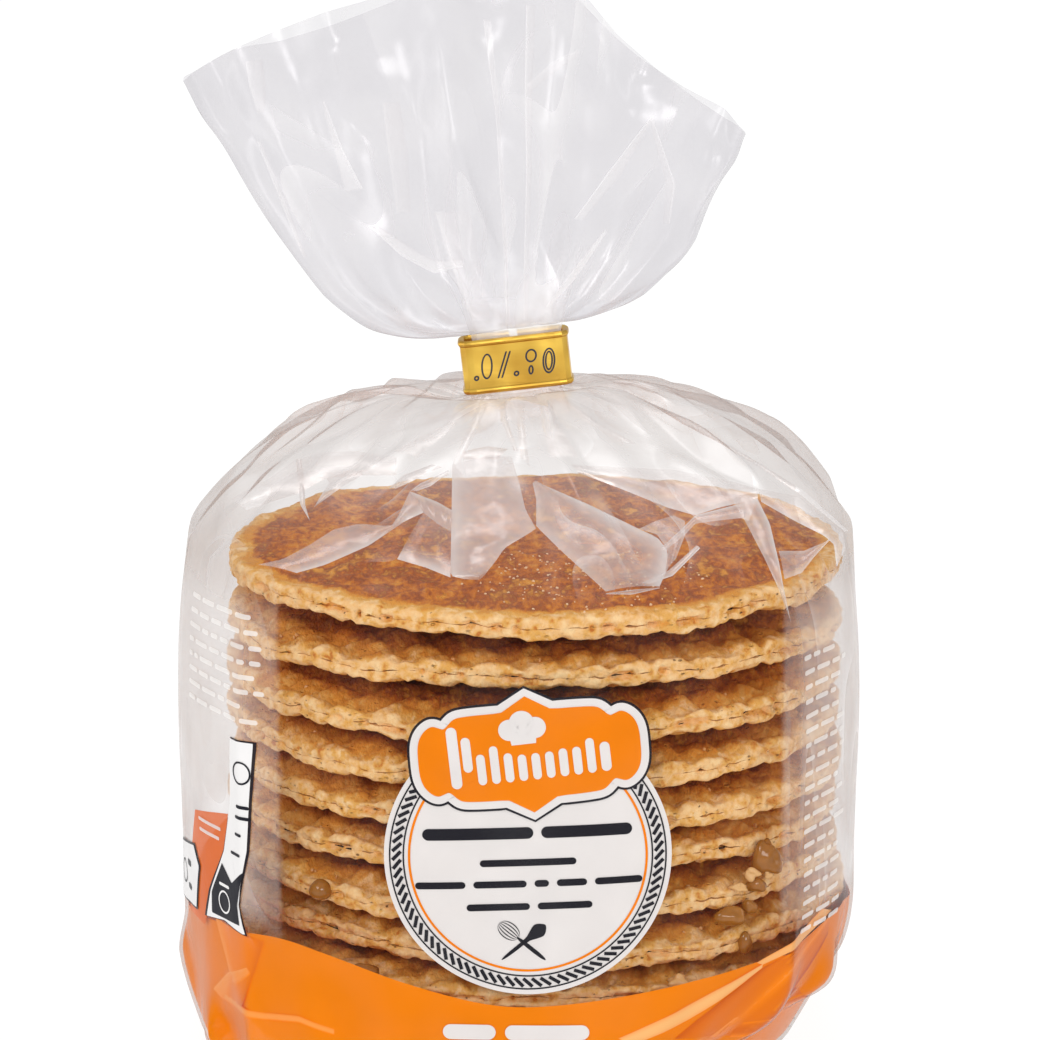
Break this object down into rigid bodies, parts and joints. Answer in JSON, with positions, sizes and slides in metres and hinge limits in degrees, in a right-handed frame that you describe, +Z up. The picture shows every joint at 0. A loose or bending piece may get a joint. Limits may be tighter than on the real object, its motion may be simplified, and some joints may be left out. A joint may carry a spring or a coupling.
{
  "type": "bag of caramel waffles",
  "caption": "Clear film bag holding a stack of thin round caramel waffles, gathered at the neck by a folded metal clip under a fanned ruff.",
  "frame": {"origin": "middle of the bag's flat base", "axes": "+Z up the stack towards the clip and ruff, -Y out of the printed front, +X to the right seen from the front"},
  "size_m": [0.0992, 0.0962, 0.1567],
  "materials": {
    "film": "clear crinkled packing film",
    "clip": "gold lacquered folded strip",
    "wafer": "baked wafer, golden brown",
    "syrup": "dark caramel syrup",
    "sugar": "sugar grains",
    "print_orange": "orange ink on film",
    "print_white": "white ink on film",
    "print_dark": "dark ink on film"
  },
  "bodies": {
    "root": {"bag": "film", "clip": "clip"}
  },
  "joints": []
}
